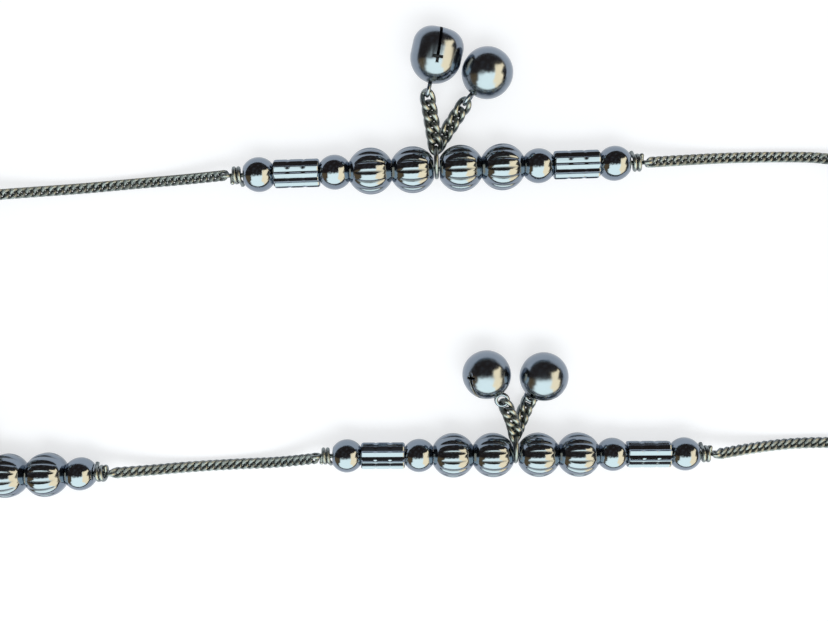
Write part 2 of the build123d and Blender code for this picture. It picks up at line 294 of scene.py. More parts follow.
# Wire drawn, bent and soldered, which a cloth hardly reaches: greyer, with broad highlights, and dark joints
# of tarnished silver and painted shade
WIRE_SILVER = SilverFinish("drawn_silver_wire", "868e90", "4c5153", 0.34, 0.35, 0.6, 0.5, 0.006)
# Fine chain, filed flat and never polished link by link: a satin grey that mirrors nothing clearly, a little
# darker between its links with tarnished silver and painted shade
CHAIN_SILVER = SilverFinish("drawn_silver_chain", "7a8389", "63696d", 0.52, 0.25, 0.6, 0.5, 0.003)


class Finishes:
    """The materials of all finishes, each made once."""

    def __init__(self) -> None:
        """Start with no material made."""
        self.made: dict[str, bpy.types.Material] = {}

    def of(self, finish: SilverFinish) -> bpy.types.Material:
        """Build a finish's material at its first use, and keep it.

        Args:
            finish: The finish.

        Returns:
            Its material.
        """
        if finish.name not in self.made:
            self.made[finish.name] = finish.material()
        return self.made[finish.name]


# Building and placing meshes


def linked(name: str, data: bpy.types.ID) -> bpy.types.Object:
    """Make an object and link it to the scene.

    Args:
        name: Name of the object.
        data: Its mesh, curve, light or camera.

    Returns:
        The new object.
    """
    made = bpy.data.objects.new(name, data)
    bpy.context.scene.collection.objects.link(made)
    return made


def spun(profile: list[Vector], steps: int) -> bmesh.types.BMesh:
    """Turn a closed half section in the xz plane about the x axis.

    Args:
        profile: Corners of the half section, with z as the distance from the axis.
        steps: Number of steps in the full turn.

    Returns:
        The turned shape, with its faces pointing out.
    """
    shape = bmesh.new()
    corners = [shape.verts.new(point) for point in profile]
    edges = [shape.edges.new(pair) for pair in zip(corners, corners[1:] + corners[:1])]
    bmesh.ops.spin(
        shape, geom=corners + edges, cent=(0, 0, 0), axis=(1, 0, 0), dvec=(0, 0, 0), angle=TURN, steps=steps,
        use_merge=True, use_duplicate=False,
    )
    bmesh.ops.remove_doubles(shape, verts=shape.verts, dist=SAME_PLACE)
    bmesh.ops.recalc_face_normals(shape, faces=shape.faces)
    return shape


def wire_ring(radius: float, wire: float, sides: int, steps: int) -> bmesh.types.BMesh:
    """Turn a round wire section about the z axis into a ring.

    Args:
        radius: Of the ring's middle line.
        wire: Radius of the wire.
        sides: Faces round the wire.
        steps: Faces round the ring.

    Returns:
        The ring, with its faces pointing out.
    """
    ring = bmesh.new()
    circle = bmesh.ops.create_circle(
        ring, segments=sides, radius=wire,
        matrix=Matrix.Translation((radius, 0, 0)) @ Matrix.Rotation(pi / 2, 4, "X"),
    )
    edges = list({edge for vert in circle["verts"] for edge in vert.link_edges})
    bmesh.ops.spin(
        ring, geom=circle["verts"] + edges, cent=(0, 0, 0), axis=(0, 0, 1), dvec=(0, 0, 0), angle=TURN,
        steps=steps, use_merge=True, use_duplicate=False,
    )
    bmesh.ops.remove_doubles(ring, verts=ring.verts, dist=SAME_PLACE)
    bmesh.ops.recalc_face_normals(ring, faces=ring.faces)
    return ring


def as_mesh(shape: bmesh.types.BMesh, name: str, sharp_angle: float = 40.0) -> bpy.types.Mesh:
    """Write a bmesh to a smooth mesh, and free it.

    Args:
        shape: The bmesh.
        name: Name of the mesh.
        sharp_angle: Edges that turn by more than this, in degrees, stay sharp.

    Returns:
        The mesh.
    """
    mesh = bpy.data.meshes.new(name)
    shape.to_mesh(mesh)
    shape.free()
    mesh.shade_smooth()
    mesh.set_sharp_from_angle(angle=radians(sharp_angle))
    return mesh


def evaluated(data: bpy.types.ID, dress: Callable[[bpy.types.Object], None] | None = None) -> bpy.types.Mesh:
    """Return the mesh that a curve, or a mesh with modifiers, comes to.

    Args:
        data: The curve or the mesh to start from.
        dress: Adds the modifiers to a passing object.

    Returns:
        The finished mesh.
    """
    holder = linked(data.name + "_holder", data)
    if dress:
        dress(holder)
    bpy.context.view_layer.update()
    result = bpy.data.meshes.new_from_object(holder.evaluated_get(bpy.context.evaluated_depsgraph_get()))
    bpy.data.objects.remove(holder)
    return result


def merged(parts: Iterable[tuple[bpy.types.Mesh, Matrix]], name: str) -> bpy.types.Mesh:
    """Join placed copies of meshes into one mesh in the frame.

    Args:
        parts: Meshes in millimetres, each with its placing matrix.
        name: Name of the joined mesh.

    Returns:
        The joined mesh, in metres.
    """
    whole = bmesh.new()
    for mesh, placing in parts:
        before = len(whole.verts)
        whole.from_mesh(mesh)
        whole.verts.ensure_lookup_table()
        bmesh.ops.transform(whole, matrix=placing, verts=whole.verts[before:])
    joined = bpy.data.meshes.new(name)
    whole.to_mesh(joined)
    whole.free()
    return joined


def stand_for(mesh: bpy.types.Mesh, node: str, finish: bpy.types.Material) -> bpy.types.Object:
    """Show a mesh in place of a CAD node.

    Args:
        mesh: The finished mesh, in metres in the frame.
        node: The CAD node that it stands for.
        finish: Its material.

    Returns:
        The new piece.
    """
    piece = linked(node + "_silver", mesh)
    mesh.materials.clear()
    mesh.materials.append(finish)
    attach(piece, "root")
    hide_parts(node)
    log.info("%s: %d faces", piece.name, len(mesh.polygons))
    return piece


# Beads, each along the x axis about the origin

FLUTES = 14
FLUTE_STEPS = 14


@dataclass
class RoundBead:
    """A ball bead, soldered from two pressed cups and drilled along its axis.

    Attributes:
        diameter: Across the ball.
        length: Along the axis, between the flat ends.
        bore: Across the hole.
        rim: Rounding of the rim round each end.
        rim_corner: How far the rounding's middle corner lies in from the end, as a share of the rounding.
        steps: Faces round the bead.
        rings: Faces along the ball's arc.
    """

    diameter: float
    length: float
    bore: float = 0.75
    rim: float = 0.1
    rim_corner: float = 0.25
    steps: int = 72
    rings: int = 26

    def section(self) -> list[Vector]:
        """Draw the bead's half section.

        Returns:
            Its corners: bore, end, rounded rim and the ball's arc, and back to the bore.
        """
        half = self.length / 2
        end_angle = degrees(atan2(sqrt((self.diameter / 2) ** 2 - half**2), half))
        inset = degrees(self.rim / (self.diameter / 2))
        arc = []
        for ring in range(self.rings + 1):
            angle = radians(end_angle + inset + (180 - 2 * (end_angle + inset)) * ring / self.rings)
            arc.append(Vector((cos(angle), 0, sin(angle))) * self.diameter / 2)
        rim_radius = arc[0].z - self.rim
        out = self.rim * (1 - self.rim_corner)
        start = [
            Vector((half, 0, self.bore / 2)),
            Vector((half, 0, rim_radius)),
            Vector((half - self.rim * self.rim_corner, 0, rim_radius + out)),
        ]
        finish = [Vector((-point.x, 0, point.z)) for point in reversed(start)]
        return start + arc + finish

    def mesh(self, name: str) -> bpy.types.Mesh:
        """Build the bead's mesh."""
        return as_mesh(spun(self.section(), self.steps), name)


@dataclass
class FlutedBead(RoundBead):
    """A ball bead with broad convex ribs between narrow grooves that fade out before its ends.

    Attributes:
        flutes: Number of ribs.
        depth: Depth of a groove below the ribs' edges, at the middle of the bead.
        groove_size: How far from its foot a groove has lost most of its depth.
        crown: How far a rib's middle stands above its edges.
        reach: Half of a groove's length along the axis.
        line_size: How far from a groove's foot its painted dark line of shade and tarnished silver reaches.
        line_share: Share of that dark line at the foot.
    """

    flutes: int = FLUTES
    depth: float = 0.09
    groove_size: float = 0.14
    crown: float = 0.04
    reach: float = 1.5
    line_size: float = 0.09
    line_share: float = 0.8

    def mesh(self, name: str) -> bpy.types.Mesh:
        """Build the bead, press its grooves in and mark the dark lines of painted shade and tarnished silver
        along their feet.

        Args:
            name: Name of the mesh.

        Returns:
            The mesh, in millimetres.
        """
        shape = spun(self.section(), self.steps)
        lines = shape.verts.layers.float.new(DARK_LINES)
        for vert in shape.verts:
            radius = hypot(vert.co.y, vert.co.z)
            if radius <= self.bore or abs(vert.co.x) >= self.reach:
                continue
            fade = 1 - (vert.co.x / self.reach) ** 2
            turn = atan2(vert.co.z, vert.co.y) / TURN * self.flutes
            across = abs(turn - round(turn)) * 2
            from_foot = (1 - across) * pi * radius / self.flutes
            fall = self.depth * exp(-((from_foot / self.groove_size) ** 2)) + self.crown * across**2
            scale = 1 - fade * fall / radius
            vert.co.y *= scale
            vert.co.z *= scale
            # Painted shade and tarnished silver, darkest at a groove's foot
            vert[lines] = self.line_share * fade * exp(-((from_foot / self.line_size) ** 2))
        return as_mesh(shape, name, sharp_angle=50.0)


@dataclass
class TubeBead:
    """A tube bead cut with leaning facets, each ending in a short step, with small nicks in its ridges.

    Attributes:
        diameter: Across the ridges.
        length: Along the axis.
        sides: Number of facets.
        side_steps: Faces across a facet.
        step: How far a facet falls below its ridges where it meets its step.
        step_place: Place of that foot, as a share of the way across the facet.
        bore: Across the hole.
        end_round: Rounding of the ends.
        end_step: Degrees of that rounding for each face.
        nick_depth: Depth of a nick.
        nick_size: Half of a nick's width, along the bead and round it.
        nick_part: How many times the nicks' distance from the middle goes into the length.
        rings: Faces along the straight part.
    """

    diameter: float = 2.75
    length: float = 4.48
    sides: int = 12
    side_steps: int = 10
    step: float = 0.17
    step_place: float = 0.65
    bore: float = 0.75
    end_round: float = 0.25
    end_step: int = 15
    nick_depth: float = 0.05
    nick_size: float = 0.14
    nick_part: int = 6
    rings: int = 44

    def section(self) -> list[Vector]:
        """Draw the bead's half section.

        Returns:
            Its corners: bore, end, rounded corner and the long side in short steps, and back to the bore.
        """
        half, radius = self.length / 2, self.diameter / 2
        straight = half - self.end_round
        middle = Vector((straight, 0, radius - self.end_round))
        start = [Vector((half, 0, self.bore / 2))]
        for angle in (radians(step) for step in range(0, 90, self.end_step)):
            start.append(middle + Vector((cos(angle), 0, sin(angle))) * self.end_round)
        places = [straight * (1 - 2 * ring / self.rings) for ring in range(self.rings + 1)]
        side = [Vector((place, 0, radius)) for place in places]
        return start + side + [Vector((-point.x, 0, point.z)) for point in reversed(start)]

    def mesh(self, name: str) -> bpy.types.Mesh:
        """Build the tube and cut its facets and nicks.

        Args:
            name: Name of the mesh.

        Returns:
            The mesh, in millimetres.
        """
        shape = spun(self.section(), self.sides * self.side_steps)
        side_turn = TURN / self.sides
        for vert in shape.verts:
            radius = hypot(vert.co.y, vert.co.z)
            if radius <= self.bore:
                continue
            turn = atan2(vert.co.z, vert.co.y) / side_turn
            share = turn - floor(turn)
            flat = cos(side_turn / 2) / cos((share - 0.5) * side_turn)
            fall = self.step * min(share / self.step_place, (1 - share) / (1 - self.step_place))
            from_ridge = min(share, 1 - share) * side_turn * radius / self.nick_size
            from_nick = (abs(vert.co.x) - self.length / self.nick_part) / self.nick_size
            nick = self.nick_depth * exp(-(from_ridge**2) - from_nick**2)
            scale = flat - (fall + nick) / radius
            vert.co.y *= scale
            vert.co.z *= scale
        return as_mesh(shape, name, sharp_angle=25.0)


class BeadKind(Enum):
    """The kinds of bead, by the word that their nodes' names hold."""

    FLUTED = "fluted"
    PLAIN = "plain"
    TUBE = "tube"


# Each bead is a little longer than its plain solid, so that the beads meet in the dark joints of a tight row
BEAD_SHAPES = {
    BeadKind.FLUTED: FlutedBead(diameter=4.55, length=4.08, steps=FLUTES * FLUTE_STEPS),
    BeadKind.PLAIN: RoundBead(diameter=3.4, length=2.88),
    BeadKind.TUBE: TubeBead(),
}
BEAD_LENGTHS = {kind: shape.length for kind, shape in BEAD_SHAPES.items()}
LONG_SIDE = (BeadKind.FLUTED, BeadKind.FLUTED, BeadKind.PLAIN, BeadKind.TUBE, BeadKind.PLAIN)
SHORT_SIDE = LONG_SIDE[:3]


@dataclass
class BeadGroup:
    """A row of beads on one stiff wire, alike on both sides of its middle.

    Attributes:
        name: First part of its nodes' names.
        heading: Direction of the wire in the plan, in degrees.
        side: Beads from the middle outwards.
        strung: Whether one node holds all the beads.
        centre_gap: Gap at the middle, for the ring.
        gap: Gap between other beads.
    """

    name: str
    heading: float
    side: tuple[BeadKind, ...]
    strung: bool = False
    centre_gap: float = 0.58
    gap: float = 0.02

    @cached_property
    def middle(self) -> Vector:
        """Return the middle of the row in the frame, in metres, from the box that holds its beads."""
        return middle_of(node for node, _ in self.nodes())

    def places(self) -> list[tuple[BeadKind, float]]:
        """Lay the beads out along the wire.

        Returns:
            Each bead's kind and distance from the middle, from one end of the row to the other.
        """
        half = []
        end = self.centre_gap / 2 - self.gap
        for kind in self.side:
            start = end + self.gap
            end = start + BEAD_LENGTHS[kind]
            half.append((kind, (start + end) / 2))
        return [(kind, -along) for kind, along in reversed(half)] + half

    def nodes(self) -> list[tuple[str, list[tuple[BeadKind, float]]]]:
        """List the group's nodes.

        Returns:
            Each node with its beads' kinds and places along the wire.
        """
        if self.strung:
            return [(self.name + "_beads", self.places())]
        counts = dict.fromkeys(BeadKind, 0)
        nodes = []
        for kind, along in self.places():
            counts[kind] += 1
            nodes.append((f"{self.name}_{kind.value}_bead_{counts[kind]}", [(kind, along)]))
        return nodes

    def build(self, shapes: dict[BeadKind, bpy.types.Mesh], finishes: Finishes) -> None:
        """Show the group's beads and give its wire its finish.

        Args:
            shapes: The mesh of each kind of bead.
            finishes: The materials.
        """
        for node, beads in self.nodes():
            parts = []
            for kind, along in beads:
                place = self.middle + unit(self.heading) * along * MM
                parts.append((shapes[kind], turned_to(place, unit(self.heading), UP)))
            stand_for(merged(parts, node), node, finishes.of(BEAD_SILVER))
        dress_node(self.name + "_strand_wire", finishes.of(WIRE_SILVER))


BEAD_GROUPS = (
    BeadGroup("upper", 1.8, LONG_SIDE),
    BeadGroup("lower", 0.35, LONG_SIDE),
    BeadGroup("lower_left", 1.5, SHORT_SIDE),
    BeadGroup("right", -74.2, SHORT_SIDE, strung=True),
    BeadGroup("upper_left", 12.4, SHORT_SIDE, strung=True),
)


def dress_node(node: str, finish: bpy.types.Material) -> None:
    """Give a CAD node its finish.

    Args:
        node: The node, which keeps its shape.
        finish: Its material.
    """
    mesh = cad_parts[node].data
    mesh.materials.clear()
    mesh.materials.append(finish)
    log.info("%s: kept, in %s", node, finish.name)


# Bells


@dataclass(frozen=True)
class Slit:
    """Where a bell's long slit lies.

    Attributes:
        heading: Heading of the slit's middle as seen from the bell's middle, in degrees.
        rise: Its rise above the level, in degrees.
        turn: Turn of the slit from the level, in degrees.
    """

    heading: float
    rise: float
    turn: float

    def aim(self, lean: float = 0.0) -> Matrix:
        """Turn a shape to the slit.

        Args:
            lean: Turn along the slit from its middle, in degrees.

        Returns:
            The matrix that takes z to the slit and x along it.
        """
        outward = unit(self.heading, self.rise)
        level = unit(self.heading + 90)
        along = level * cos(radians(self.turn)) + outward.cross(level) * sin(radians(self.turn))
        return aimed(along, outward) @ Matrix.Rotation(radians(lean), 4, "Y")


@dataclass
class JingleBell:
    """A pressed jingle bell: a half ball soldered to a crown, with a long slit and a short one across it.

    Attributes:
        crown: Height of the crown above the seam.
        shoulder: Rounding between the side and the crown.
        radius: Of the half ball.
        wall: Thickness of the sheet.
        seam_rise: How far the plain solid's seam stands out.
        seam_width: Width of the seam, where the shell has a plain band.
        slit_width: Width of both slits.
        slit_foot: From the bell's middle to the level where the long slit ends.
        cross_half: Half of the short slit's length.
        cross_lean: Turn of the short slit from the long one's middle, in degrees.
        lip: Rounding of the slits' edges.
        lip_angle: Edges that turn by more than this, in degrees, are rounded.
        loop_radius: Of the loop's middle line.
        loop_wire: Radius of the loop's wire.
        loop_stand: From the ball to the loop's middle.
        steps: Faces round the shell.
        arc_step: Degrees of an arc of the outline for each face.
    """

    crown: float
    shoulder: float
    radius: float = 2.45
    wall: float = 0.3
    seam_rise: float = 0.05
    seam_width: float = 0.16
    slit_width: float = 0.28
    slit_foot: float = 1.9
    cross_half: float = 0.5
    cross_lean: float = -27.0
    lip: float = 0.04
    lip_angle: float = 50.0
    loop_radius: float = 0.6
    loop_wire: float = 0.2
    loop_stand: float = 0.6
    steps: int = 96
    arc_step: int = 5

    def reach(self, direction: Vector, crown_axis: Vector) -> float:
        """Return how far the plain shell reaches from the ball's middle.

        Args:
            direction: Unit vector of the reach.
            crown_axis: Unit vector towards the crown.

        Returns:
            The reach, in millimetres.
        """
        along = direction.dot(crown_axis)
        across = direction.cross(crown_axis).length
        seam = (self.radius + self.seam_rise) * across + self.seam_width / 2 * abs(along)
        crown = (self.crown - self.shoulder) * along + (self.radius - self.shoulder) * across + self.shoulder
        return max(self.radius, seam, crown)

    def skin(self, inset: float) -> list[Vector]:
        """Draw the outline of one side of the sheet, with x towards the crown.

        Args:
            inset: Depth of that side below the outside.

        Returns:
            Its corners, from the foot of the ball to the top of the crown.
        """
        radius = self.radius - inset
        shoulder = self.shoulder - inset
        rim = Vector((self.crown - inset - shoulder, 0, radius - shoulder))
        ball, dome = [], []
        for angle in (radians(step) for step in range(0, 91, self.arc_step)):
            ball.append(Vector((-cos(angle), 0, sin(angle))) * radius)
            dome.append(rim + Vector((sin(angle), 0, cos(angle))) * shoulder)
        # The cuts need the ball's widest corner exactly at the middle, which a cosine misses by a hair
        ball[-1] = Vector((0, 0, radius))
        return ball + dome + [Vector((self.crown - inset, 0, 0))]

    def section(self) -> list[Vector]:
        """Draw the shell's closed half section, with a plain band where its halves meet.

        Returns:
            Its corners, up the outside and back down the inside.
        """
        outside = [point for point in self.skin(0) if abs(point.x) > self.seam_width / 2]
        return outside + list(reversed(self.skin(self.wall)))

    def slit_cutter(self, slit: Slit) -> bpy.types.Mesh:
        """Build the blades that cut both slits of a bell whose middle is the origin.

        Args:
            slit: Where the long slit lies.

        Returns:
            Both blades in one mesh.
        """
        blades = bmesh.new()
        long_size = Vector((2 * self.radius, self.slit_width, self.radius))
        cross_size = Vector((self.slit_width, 2 * self.cross_half, self.radius))
        for aim, size in ((slit.aim(), long_size), (slit.aim(self.cross_lean), cross_size)):
            place = Matrix.Translation((0, 0, self.slit_foot + size.z / 2)) @ Matrix.Diagonal((*size, 1))
            bmesh.ops.create_cube(blades, size=1.0, matrix=aim @ place)
        return as_mesh(blades, "slit_cutter")

    def shell(self, crown_axis: Vector, slit: Slit) -> bpy.types.Mesh:
        """Build the shell about the origin, with its slits cut and their edges rounded.

        Args:
            crown_axis: Unit vector towards the crown.
            slit: Where the long slit lies.

        Returns:
            The shell, in millimetres.
        """
        body = spun(self.section(), self.steps)
        side = unit(degrees(atan2(crown_axis.y, crown_axis.x)) + 90)
        bmesh.ops.transform(body, matrix=aimed(crown_axis, crown_axis.cross(side)), verts=body.verts)
        cutter = linked("slit_cutter", self.slit_cutter(slit))

        def cut(holder: bpy.types.Object) -> None:
            """Cut the slits and round their edges.

            Args:
                holder: The passing object that holds the plain shell.
            """
            slits = holder.modifiers.new("slits", "BOOLEAN")
            slits.operation = "DIFFERENCE"
            slits.solver = "EXACT"
            slits.use_self = True
            slits.object = cutter
            lips = holder.modifiers.new("lips", "BEVEL")
            lips.width = self.lip
            lips.segments = 2
            lips.limit_method = "ANGLE"
            lips.angle_limit = radians(self.lip_angle)

        cut_shell = evaluated(as_mesh(body, "plain_shell"), cut)
        bpy.data.objects.remove(cutter)
        cleaned = bmesh.new()
        cleaned.from_mesh(cut_shell)
        bmesh.ops.remove_doubles(cleaned, verts=cleaned.verts, dist=SLIVER)
        bmesh.ops.dissolve_degenerate(cleaned, edges=cleaned.edges, dist=SLIVER)
        return as_mesh(cleaned, "bell_shell", sharp_angle=60.0)


class Crown(Enum):
    """The forms of a bell's crown, each with its shape."""

    ROUND = JingleBell(crown=2.48, shoulder=2.4)
    SQUARE = JingleBell(crown=2.8, shoulder=1.75)


@dataclass(frozen=True)
class Bell:
    """One bell and where it lies.

    Attributes:
        group: The bead group that it hangs from.
        side: Last part of its node's name.
        crown: Form of its crown.
        heading: Direction from the ball to its loop in the plan, in degrees.
        dip: How far that direction dips, in degrees.
        slit: Where its long slit lies.
        ring_angle: Place of its chain on the ring, from the bells' side upwards, in degrees.
        bend: The point in the plan that its chain's route bends towards.
    """

    group: str
    side: str
    crown: Crown
    heading: float
    dip: float
    slit: Slit
    ring_angle: float
    bend: Place

    @property
    def node(self) -> str:
        """Return the name of the bell's CAD node."""
        return f"{self.group}_bell_{self.side}"

    @property
    def loop_out(self) -> Vector:
        """Return the unit vector from the ball towards the loop."""
        return unit(self.heading, -self.dip)

    @cached_property
    def middle(self) -> Vector:
        """Find the middle of the ball from the sides of the node's box that lie away from the loop.

        Returns:
            The middle in the frame, in metres.
        """
        low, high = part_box(self.node)
        middle = Vector()
        for axis in range(3):
            side = 1 if self.loop_out[axis] <= 0 else -1
            away = Vector([side if number == axis else 0 for number in range(3)])
            corner = high if side > 0 else low
            middle[axis] = corner[axis] - side * self.crown.value.reach(away, -self.loop_out) * MM
        return middle

    def build(self, wire_held: Vector, finishes: Finishes) -> None:
        """Show the bell in place of its CAD node.

        Args:
            wire_held: Unit vector across the wire of the loop where its chain holds it.
            finishes: The materials.
        """
        form = self.crown.value
        shell = form.shell(-self.loop_out, self.slit)
        loop = as_mesh(wire_ring(form.loop_radius, form.loop_wire, sides=14, steps=40), "bell_loop")
        loop_middle = self.middle + self.loop_out * (form.radius + form.loop_stand) * MM
        across = self.loop_out.cross(square_to(wire_held, self.loop_out))
        parts = [
            (shell, Matrix.Translation(self.middle) @ Matrix.Scale(MM, 4)),
            (loop, turned_to(loop_middle, self.loop_out, across)),
        ]
        stand_for(merged(parts, self.node), self.node, finishes.of(BELL_SILVER))


ROUND, SQUARE = Crown.ROUND, Crown.SQUARE
BELLS = (
    Bell("upper", "left", SQUARE, -102.7, 2.2, Slit(74, 64, -82), 10.6, (1.83, 17.75, 2.25)),
    Bell("upper", "right", ROUND, -125.8, 14.0, Slit(60, -50, 20), -15.8, (3.32, 17.74, 0.9)),
    Bell("lower", "left", ROUND, -58.9, 0.0, Slit(215, 42, -20), 19.9, (10.13, -11.31, 2.72)),
    Bell("lower", "right", ROUND, -112.4, 29.1, Slit(262, 33, 5), -13.2, (11.36, -10.77, 0.92)),
    Bell("lower_left", "left", ROUND, -33.0, 10.0, Slit(150, 35, 70), 15.0, (-46.15, -12.95, 2.55)),
    Bell("lower_left", "right", SQUARE, -66.0, 18.0, Slit(85, 20, -40), -18.0, (-44.0, -12.25, 0.3)),
    Bell("right", "left", ROUND, 211.5, 15.0, Slit(55, 40, 30), 10.0, (52.65, 2.1, 2.5)),
    Bell("right", "right", ROUND, 172.0, 21.0, Slit(-20, 55, 80), -18.0, (52.55, 0.1, 0.6)),
    Bell("upper_left", "left", ROUND, -65.0, 3.5, Slit(130, 30, -50), 9.5, (-58.25, 12.9, 2.35)),
    Bell("upper_left", "right", SQUARE, -88.0, 16.0, Slit(70, 60, 15), -17.0, (-55.2, 12.9, 0.75)),
)


# Chains


@dataclass
class Line:
    """A smooth line through the frame, read off a spline as close points.

    Attributes:
        route: The points that control it, in metres.
    """

    route: list[Vector]

    def __post_init__(self) -> None:
        """Read the spline's points and add up its length."""
        self.points = self.read()
        self.runs = [0.0]
        for before, after in zip(self.points, self.points[1:]):
            self.runs.append(self.runs[-1] + (after - before).length)

    @property
    def length(self) -> float:
        """Return the line's length, in metres."""
        return self.runs[-1]

    def read(self) -> list[Vector]:
        """Evaluate the spline.

        Returns:
            Close points along it, in metres.
        """
        curve = bpy.data.curves.new("chain_route", "CURVE")
        curve.dimensions = "3D"
        spline = curve.splines.new("NURBS")
        spline.points.add(len(self.route) - 1)
        for point, place in zip(spline.points, self.route):
            point.co = (*place, 1.0)
        spline.order_u = 3
        spline.use_endpoint_u = True
        spline.resolution_u = 24
        line = evaluated(curve)
        points = [vert.co.copy() for vert in line.vertices]
        bpy.data.meshes.remove(line)
        return points

    def at(self, distance: float) -> tuple[Vector, Vector]:
        """Find a place on the line, or straight on from its end.

        Args:
            distance: From the line's start, in metres, and less than nothing before it.

        Returns:
            The place, and the line's direction there as a unit vector.
        """
        run = 0
        while run < len(self.points) - 2 and self.runs[run + 1] < distance:
            run += 1
        before, after = self.points[run], self.points[run + 1]
        share = (distance - self.runs[run]) / (self.runs[run + 1] - self.runs[run])
        return before.lerp(after, share), (after - before).normalized()


@dataclass
class CurbChain:
    """A tight curb chain: every link is an oval with a half twist in it, passed through the one before.

    Attributes:
        half_length: Half of a link's middle line, along the chain.
        half_width: Half of it across the chain.
        twist: How far the twist takes the wire up and down.
        wire: Radius of the wire.
        pitch: From link to link.
        filed: How much of the wire is left outside its middle line where the chain's sides are filed flat.
        end_reach: From an end of the route to the middle of the link there, which hooks the next piece.
        sides: Faces round the wire.
        steps: Faces along the link.
    """

    half_length: float = 0.58
    half_width: float = 0.42
    twist: float = 0.25
    wire: float = 0.19
    pitch: float = 0.73
    filed: float = 0.1
    end_reach: float = -0.3
    sides: int = 8
    steps: int = 16

    def middle_line(self, angle: float) -> Vector:
        """Return the link's middle line at an angle round it."""
        across, rise = self.half_width * sin(angle), -self.twist * sin(2 * angle)
        return Vector((self.half_length * cos(angle), across, rise))

    def link(self) -> bpy.types.Mesh:
        """Build one link about the origin, along x, by bending a ring of wire to the twisted oval.

        Returns:
            The link, in millimetres.
        """
        width, height = self.half_width + self.filed, self.twist + self.filed
        nearby = 0.01
        ring = wire_ring(1.0, self.wire, self.sides, self.steps)
        for vert in ring.verts:
            angle = atan2(vert.co.y, vert.co.x)
            outward, rise = hypot(vert.co.x, vert.co.y) - 1, vert.co.z
            along = (self.middle_line(angle + nearby) - self.middle_line(angle - nearby)).normalized()
            up = square_to(UP, along)
            place = self.middle_line(angle) + along.cross(up) * outward + up * rise
            vert.co = (place.x, min(max(place.y, -width), width), min(max(place.z, -height), height))
        bmesh.ops.recalc_face_normals(ring, faces=ring.faces)
        return as_mesh(ring, "curb_link", sharp_angle=50.0)

    def laid(self, line: Line, ends: float) -> list[tuple[bpy.types.Mesh, Matrix]]:
        """Return links with their placings along a line, sharing out its length evenly.

        Args:
            line: The line that the chain follows.
            ends: From each end of the line to the middle of the link there, in millimetres.

        Returns:
            The link's mesh with each placing.
        """
        link = self.link()
        span = line.length - 2 * ends * MM
        count = round(span / (self.pitch * MM))
        parts = []
        for number in range(count + 1):
            place, along = line.at(ends * MM + span * number / count)
            parts.append((link, turned_to(place, along, square_to(UP, along))))
        return parts

    def build(self, node: str, route: list[Place], finishes: Finishes) -> None:
        """Show a chain in place of its tube.

        Args:
            node: The CAD node.
            route: The route's points in the plan, in millimetres.
            finishes: The materials.
        """
        mesh = merged(self.laid(Line([in_plan(point) for point in route]), self.end_reach), node)
        stand_for(mesh, node, finishes.of(CHAIN_SILVER))


LOOP_CHAIN = CurbChain()
# The bells' chains have heavier links that are hardly filed
BELL_CHAIN = CurbChain(
    half_length=0.85, half_width=0.52, twist=0.36, wire=0.26, pitch=1.1, filed=0.26, end_reach=0.36,
    sides=10, steps=24,
)


@dataclass
class BellLinks:
    """The ring round a bead group's wire, and the two chains that its bells hang from.

    Attributes:
        group: The bead group.
        chain: The sizes of the bells' chains.
        ring_radius: Of the ring's middle line.
        ring_wire: Radius of the ring's wire.
        ring_shift: How far the ring hangs towards the bells.
        plain_pitch: Between the links of the plain chain, which set how the bell's loop is turned.
        plain_reach: From the plain chain's end link to the wire that it holds.
    """

    group: BeadGroup
    chain: CurbChain
    ring_radius: float = 1.45
    ring_wire: float = 0.21
    ring_shift: float = 0.62
    plain_pitch: float = 1.08
    plain_reach: float = 0.3

    def wire_held(self, line: Line, ring_wire: Vector) -> Vector:
        """Return the flat side of a chain's last plain link, which tells how the bell's loop is turned.

        Args:
            line: The chain's line, from the ring to the bell.
            ring_wire: Direction of the ring's wire where it holds the chain.

        Returns:
            A unit vector square to the end of the line.
        """
        _, along = line.at(line.length - self.plain_reach * MM)
        flat_side = square_to(ring_wire, along)
        turns = round((line.length / MM - 2 * self.plain_reach) / self.plain_pitch)
        return along.cross(flat_side) if turns % 2 else flat_side

    def build(self, finishes: Finishes) -> None:
        """Show the ring and its chains in place of their CAD node, and the bells at their ends.

        Args:
            finishes: The materials.
        """
        towards = unit(self.group.heading + 90)
        wire_axis = unit(self.group.heading)
        middle = self.group.middle + towards * self.ring_shift * MM
        middle.z = (self.ring_radius + self.ring_wire) * MM
        ring = as_mesh(wire_ring(self.ring_radius, self.ring_wire, sides=12, steps=64), "bell_ring")
        parts = [(ring, turned_to(middle, towards, wire_axis))]
        for bell in [bell for bell in BELLS if bell.group == self.group.name]:
            angle = radians(bell.ring_angle)
            held = towards * cos(angle) + UP * sin(angle)
            form = bell.crown.value
            end = bell.middle + bell.loop_out * (form.radius + form.loop_stand + form.loop_radius) * MM
            line = Line([middle + held * self.ring_radius * MM, in_plan(bell.bend), end])
            parts += self.chain.laid(line, self.chain.end_reach)
            bell.build(self.wire_held(line, UP * cos(angle) - towards * sin(angle)), finishes)
        node = self.group.name + "_bell_links"
        stand_for(merged(parts, node), node, finishes.of(WIRE_SILVER))


